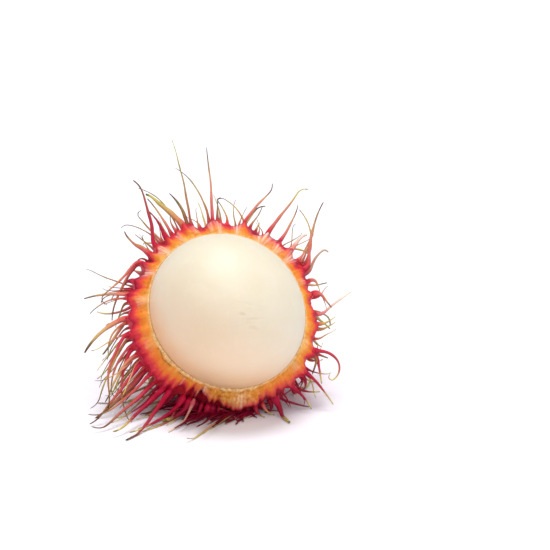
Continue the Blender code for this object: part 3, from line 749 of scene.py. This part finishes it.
def buildRind():  # the grid with a pole at each end: inside behind the flesh, and outside at the back
    grid, fibrePlace, marked = rindGrid()
    rows, columns = grid.shape[:2]
    innerPole = fleshCentre - axes[:, 2] * (fleshRadii[2] + rind["gap"] * mm)
    outerPole = rindCentre - axes[:, 2] * rindRadii[2]
    points = np.concatenate([grid.reshape(-1, 3), [innerPole, outerPole]])
    points[:, 2] = np.maximum(points[:, 2], 0)  # pressed flat where it rests
    values = {name: np.append(value, (value[0, 0], value[-1, 0])) for name, value in marked.items()}
    values["fibrePlace"] = np.concatenate([fibrePlace.reshape(-1, 3), [(0, 0, 0), (0, 0, 5 * mm)]])
    return addPiece("rind_shell", points, closedFaces(rows, columns), values, rindTissue(), "rind")


# the spines: tapering tubes along their lines, some of them a little flat

tube = {
    "sides": 8,
    "root": 0.9,  # mm that a spine starts below the skin
    "thickness": 0.66,  # of the solid's radius: the solid is stouter than the real spines
    "stout": 0.45,  # mm of radius above which a spine keeps more of it
    "flare": 0.24,
    "flareHeight": 1.3,
    "waver": 0.07,
    "twist": 1.6,  # radians over a spine's length
}


def spineSkin():
    # a rambutan's soft spine: a fleshy red hair, satin and slightly see-through, that dries yellow-green and
    # brown towards its tip, with painted shade darkening its underside
    material, tree, shader = newMaterial("soft_rambutan_spine")
    along, hue, tip, paintedUnderShade = (
        addNode(tree, "Attribute", "Fac", {}, attribute_name=name) for name in ("along", "hue", "tip", "paintedUnderShade"))
    place = addNode(tree, "TexCoord", "Object", {})
    mottle = addNode(tree, "TexNoise", "Fac", {"Vector": place, "Scale": 1 / (1.2 * mm), "Detail": 3})
    where = addNode(tree, "Math", 0, {0: mottle, 1: 0.3, 2: along}, operation="MULTIPLY_ADD")
    # the colours from root to tip at each hue; the mottle adds 0.15 on average
    ramps = {
        # maroon: painted shade, for the spines that lie low under the fruit
        -0.25: [(0.15, "#8c0a2c"), (0.6, "#6e0a26"), (1, "#5a0c20")],
        0: [(0.15, "#bd0d3a"), (0.5, "#a40e36"), (0.8, "#a02c44"), (1.05, "#b5705a")],
        0.25: [(0.15, "#c5143a"), (0.42, "#c43a4c"), (0.72, "#b86052"), (1, "#c09a5c")],
        0.5: [(0.15, "#cc2f44"), (0.36, "#dc7a6c"), (0.66, "#d8a078"), (1, "#c9b06c")],
        0.75: [(0.15, "#c63f40"), (0.34, "#c88654"), (0.62, "#cdb060"), (1, "#aeb054")],
        1: [(0.15, "#a4363c"), (0.34, "#9c6246"), (0.62, "#94744c"), (1, "#6f6040")],
        1.25: [(0.15, "#d4606c"), (0.34, "#e9b09c"), (0.62, "#f6e4d2"), (1, "#f0e3ba")],
    }
    hues = list(ramps)
    colours = [addNode(tree, "ValToRGB", "Color", {"Fac": where}, stops=ramps[at]) for at in hues]
    steps = [(hue, hues[k - 1], hues[k], 1, colours[k]) for k in range(1, len(hues))]
    ended = addNode(tree, "ValToRGB", "Color", {"Fac": tip}, stops=[(0.35, "#cdc766"), (0.65, "#5a3a24")])
    # the colours in turn as the hue grows, then the tip, its withered end, and the painted shade underneath
    colour = layered(tree, colours[0], steps + [
        (where, 0.78, 1, 0.85, ended), (where, 1.06, 1.14, 0.85, "#2e1812"), (paintedUnderShade, 0.4, 0.9, 0.5, "#5e1024"),
    ])
    creased = addNode(tree, "TexNoise", "Fac", {"Vector": place, "Scale": 1 / (0.25 * mm)})
    bump = addNode(tree, "Bump", "Normal", {"Strength": 0.3, "Distance": 0.05 * mm, "Height": creased})
    feed(tree, shader, {
        "Base Color": colour, "Normal": bump, "Roughness": 0.38, "IOR": 1.42, "Specular IOR Level": 0.2,
        "Subsurface Weight": 0.12, "Subsurface Scale": 0.4 * mm, "Subsurface Radius": (1, 0.4, 0.25),
    })
    return material


def buildSpines():
    # each ring is an ellipse square to the line; its side is carried along without twist and then turned
    used = ("feet", "normals", "length", "radius", "hue", "flat")
    feet, normals, length, radius, hue, flat = (spines[field] for field in used)
    count, stations = len(lines), lines.shape[1]
    chance = np.random.RandomState(23)
    centres = np.concatenate([(feet - normals * tube["root"] * mm)[:, None], lines], axis=1)
    share = np.concatenate([[0], np.arange(stations) / (stations - 1)])
    reach = share * length[:, None]
    fat = smooth((radius / mm - tube["stout"]) / 0.2)
    kept = tube["thickness"] + (1 - tube["thickness"]) * fat
    lost = np.where(hue > 1, 0.35, 0.74)[:, None]  # the cream ones end bluntly
    taper = (kept * radius)[:, None] * (1 - lost * share ** (1.4 - 0.6 * fat[:, None]))
    flare = tube["flare"] * mm * np.exp(-((reach / (tube["flareHeight"] * mm)) ** 2))
    flare *= smooth(radius / (0.4 * mm))[:, None]
    phase = chance.uniform(0, math.tau, (count, 1))
    waver = 1 + tube["waver"] * np.sin(reach / (1.3 * mm) + phase)
    width = taper * (waver + 0.06 * np.sin(reach / (0.5 * mm) + 2 * phase)) + flare
    width[:, 0] *= 0.5
    width[:, -1] = 0
    ahead = lines[:, 1:] - lines[:, :-1]
    along = unit(np.concatenate([normals[:, None], ahead, ahead[:, -1:]], axis=1))
    side = np.cross(normals, unit(chance.normal(0, 1, (count, 3))))
    # at the edge the broad side faces as the opening does
    side[:edgeCount] = np.cross(normals[:edgeCount], axes[:, 2])
    side = unit(side)
    sides = []
    for k in range(stations + 1):
        side = unit(side - along[:, k] * np.sum(side * along[:, k], axis=1, keepdims=True))
        sides.append(side)
    sides = np.stack(sides, axis=1)
    others = np.cross(along, sides)
    around = tube["sides"]
    corner = np.arange(around) * math.tau / around
    turned = share[:, None] * tube["twist"] * chance.uniform(-1, 1, (count, 1, 1))
    turned[:edgeCount] *= 1 - flat[:edgeCount, None, None]
    stretch = 1 + flat[:, None, None] * smooth(reach / (2.5 * mm))[..., None]
    wide, thin = np.cos(corner) * stretch, np.sin(corner) / stretch
    first = wide * np.cos(turned) - thin * np.sin(turned)
    second = wide * np.sin(turned) + thin * np.cos(turned)
    outward = sides[:, :, None] * first[..., None] + others[:, :, None] * second[..., None]
    rings = (centres[:, :, None] + outward * width[:, :, None, None])[:, :-1]  # the last ring is the tip
    perSpine = stations * around
    points = np.concatenate([rings.reshape(count * perSpine, 3), lines[:, -1]])
    points[:, 2] = np.maximum(points[:, 2], 0.02 * mm)
    start = np.arange(count) * perSpine
    quads = (ringFaces(stations, around) + start[:, None, None]).reshape(-1, 4)
    caps = np.arange(around)[::-1] + start[:, None]
    last = start[:, None] + perSpine - around + np.arange(around)
    ends = np.broadcast_to(count * perSpine + np.arange(count)[:, None], last.shape)
    tips = np.stack([last, np.roll(last, -1, axis=1), ends], axis=-1).reshape(-1, 3)
    right, up = ((feet - rindCentre) @ axes)[:, :2].T
    dark = 0.5 + 0.35 * np.sin(np.arctan2(up, right) - 0.6)
    dark = (chance.uniform(0, 1, count) < dark).astype(float)
    whole = np.select([hue < -0.09, hue > 1], [0.65, 0.6], 1)  # no dried tip on the maroon and cream ones

    def perCorner(value, tip):  # a value for each corner of each ring, then the tips' values
        return np.concatenate([np.broadcast_to(value, (count, stations, around)).reshape(-1), tip])

    # painted shade: darker on the downward-facing side of each spine, beyond its first mm
    under = (0.5 - 0.5 * unit(outward)[:, :-1, :, 2]) * smooth(reach[:, :-1] / mm)[..., None]
    values = {
        "along": perCorner(share[:-1, None] * whole[:, None, None], whole),
        "hue": perCorner(hue[:, None, None], hue),
        "tip": perCorner(dark[:, None, None], dark),
        "paintedUnderShade": perCorner(under, np.zeros(count)),
    }
    return addPiece("rind_spines", points, [quads, caps, tips], values, spineSkin(), "rind")


# the flesh: a moist, see-through ball with faint dents

flesh = {
    "around": 300,
    "rows": 180,
    "lump": 0.07,  # mm
    "dimplePlace": (3.4, -3.4),  # mm right and up of the ball's middle
    "dimpleDepth": 0.2,
    "dimpleWidth": 3.2,
    "creaseDepth": 0.22,
    "edgeCreaseDepth": 0.05,
    "warmClock": 238,  # degrees round to the side with the most painted bounce light from the pith and painted shade
}


def fleshSkin():
    # ripe rambutan flesh, bared by hand: wet and see-through like a grape, cream white, so it glows under a
    # broad soft gloss, with painted warm bounce light from the pith and painted shade on its side towards the
    # pith
    material, tree, shader = newMaterial("moist_rambutan_flesh")
    place = addNode(tree, "TexCoord", "Object", {})
    paintedBounceAndShade = addNode(tree, "Attribute", "Fac", {}, attribute_name="paintedBounceAndShade")
    cloud, vein, skin = (
        addNode(tree, "TexNoise", "Fac",
                {"Vector": place, "Scale": 1 / (size * mm), "Detail": detail, "Distortion": distortion})
        for size, detail, distortion in ((9, 2, 0), (2.2, 4, 1.2), (0.8, 4, 0)))
    colour = addNode(tree, "ValToRGB", "Color", {"Fac": cloud}, stops=[(0.35, "#e2d9c1"), (0.68, "#e6ddc8")])
    # painted bounce light from the orange pith and painted shade: a warmer, darker colour towards the rim on
    # the pith's side
    colour = layered(tree, colour, [(vein, 0.52, 0.7, 0.22, "#efe5d4"), (paintedBounceAndShade, 0, 1, 1, "#efc08e")])
    bump = addNode(tree, "Bump", "Normal", {"Strength": 0.1, "Distance": 0.06 * mm, "Height": skin})
    gloss = addNode(tree, "MapRange", "Result", {"Value": vein, 1: 0.3, 2: 0.7, 3: 0.5, 4: 0.62})
    feed(tree, shader, {
        "Base Color": colour, "Normal": bump, "Roughness": gloss, "IOR": 1.45, "Specular IOR Level": 0.8,
        "Coat Weight": 0.32, "Coat Roughness": 0.5,
        "Subsurface Weight": 0.8, "Subsurface Scale": 1.8 * mm, "Subsurface Radius": (0.9, 0.72, 0.5),
    })
    return material


def buildFlesh():
    # an ellipsoid moved along its normals by low lumps, one shallow dent with creases in it, and fine creases
    # near the rim, all on the bared front
    clock = np.arange(flesh["around"]) * math.tau / flesh["around"]
    polar = (np.arange(1, flesh["rows"]) * math.pi / flesh["rows"])[:, None]
    ball = ballPoint(clock, polar).reshape(-1, 3)
    ball = np.concatenate([ball, [(0, 0, 1), (0, 0, -1)]])
    local = ball * fleshRadii
    seen = local @ longAxes.T @ axes  # right, up and out of the opening
    front = smooth(ball[:, 2] / 0.25)
    lump = 0.7 * ripple(local, 11 * mm, 31) + 0.3 * ripple(local, 4 * mm, 32)
    lump = flesh["lump"] * mm * lump - 0.05 * mm
    away = np.hypot(seen[:, 0] / mm - flesh["dimplePlace"][0], seen[:, 1] / mm - flesh["dimplePlace"][1])
    dimple = -flesh["dimpleDepth"] * mm * hill(away, 0, flesh["dimpleWidth"]) * front
    wrinkle = np.maximum(ripple(seen * (0.6, 1.6, 1), 1.5 * mm, 33), 0)
    crease = -flesh["creaseDepth"] * mm * hill(away, 0, 2.6) * wrinkle * front
    rim = np.hypot(ball[:, 0], ball[:, 1])
    fine = np.maximum(ripple(local * (1, 1, 0.3), 1.1 * mm, 34) - 0.4, 0)
    edgeCrease = -flesh["edgeCreaseDepth"] * mm * fine * hill(rim, 0.93, 0.1) * front
    local = local + unit(ball / fleshRadii) * (lump * front + dimple + crease + edgeCrease)[:, None]
    points = fleshCentre + local @ longAxes.T
    # painted bounce light and shade: most on the side towards the pith and near the rim there, 0.6 on the
    # hidden back
    turned = np.radians(clockAway(np.arctan2(seen[:, 1], seen[:, 0]), flesh["warmClock"]))
    towards = rim * np.cos(turned)
    paintedBounceAndShade = 0.5 * smooth((towards + 0.35) / 1.3)
    paintedBounceAndShade = paintedBounceAndShade + 0.38 * smooth((rim - 0.76) / 0.24) * smooth((towards - 0.1) / 0.6)
    values = {"paintedBounceAndShade": np.where(ball[:, 2] > 0, paintedBounceAndShade, 0.6)}
    faces = closedFaces(flesh["rows"] - 1, flesh["around"])
    return addPiece("aril_flesh", points, faces, values, fleshSkin(), "aril")


# floor, light and camera

studio = {
    "distance": 400,  # mm from the camera to the middle of the rind
    "elevation": 17,  # degrees
    "frameWidth": 112.75,  # mm across the picture at that distance
    "aimRight": 10.35,  # mm from the rind's middle to the middle of the picture
    "aimUp": 8.3,
    "floorSize": 8,  # m
    "sky": 0.5,
    "lamps": {  # strength, where it shines from, and how many degrees across it is
        "overhead_light": (2, (-0.01, 0.07, 1), 26),
        "front_fill": (1, (0.34, -1, 0.7), 90),
    },
}


def buildFloor():  # a level square under the fruit
    half = studio["floorSize"] / 2
    mesh = bpy.data.meshes.new("floor")
    corners = [(-half, -half, 0), (half, -half, 0), (half, half, 0), (-half, half, 0)]
    mesh.from_pydata(corners, [], [(0, 1, 2, 3)])
    # matt white paper: a bright, even ground, a touch cool in the shade, with the faintest pulp in it
    material, tree, shader = newMaterial("matt_white_paper")
    place = addNode(tree, "TexCoord", "Object", {})
    pulp = addNode(tree, "TexNoise", "Fac", {"Vector": place, "Scale": 1 / (3 * mm)})
    colour = addNode(tree, "Mix", 2, {0: pulp, 6: "#f0eef7", 7: "#f5f3fb"}, data_type="RGBA")
    feed(tree, shader, {"Base Color": colour, "Roughness": 0.9})
    mesh.materials.append(material)
    floor = newObject("floor", mesh)


def buildStudio():  # each lamp's own -Z looks down the way that it shines
    buildFloor()
    for name, (strength, towards, spread) in studio["lamps"].items():
        lamp = bpy.data.lights.new(name, "SUN")
        lamp.energy = strength
        lamp.angle = math.radians(spread)
        newObject(name, lamp).rotation_euler = (-Vector(towards)).to_track_quat("-Z", "Y").to_euler()
    world = bpy.data.worlds.new("white_studio")
    world.use_nodes = True
    background = world.node_tree.nodes["Background"]
    background.inputs["Color"].default_value = (1, 1, 1, 1)
    background.inputs["Strength"].default_value = studio["sky"]
    bpy.context.scene.world = world
    bpy.context.scene.view_settings.view_transform = "Standard"


def buildCamera():
    # the lens is sensor width * distance / frame width
    rise = math.radians(studio["elevation"])
    towards = np.array((0, math.cos(rise), -math.sin(rise)))
    up = np.array((0, math.sin(rise), math.cos(rise)))
    aim = rindCentre + np.array((1, 0, 0)) * studio["aimRight"] * mm + up * studio["aimUp"] * mm
    lens = bpy.data.cameras.new("camera")
    lens.sensor_width = 36
    lens.lens = lens.sensor_width * studio["distance"] / studio["frameWidth"]
    lens.clip_start = 0.01
    camera = newObject("camera", lens)
    camera.location = tuple(aim - towards * studio["distance"] * mm)
    camera.rotation_euler = Vector(towards).to_track_quat("-Z", "Y").to_euler()
    bpy.context.scene.camera = camera


buildRind()
buildSpines()
buildFlesh()
buildStudio()
buildCamera()
print("scene built")
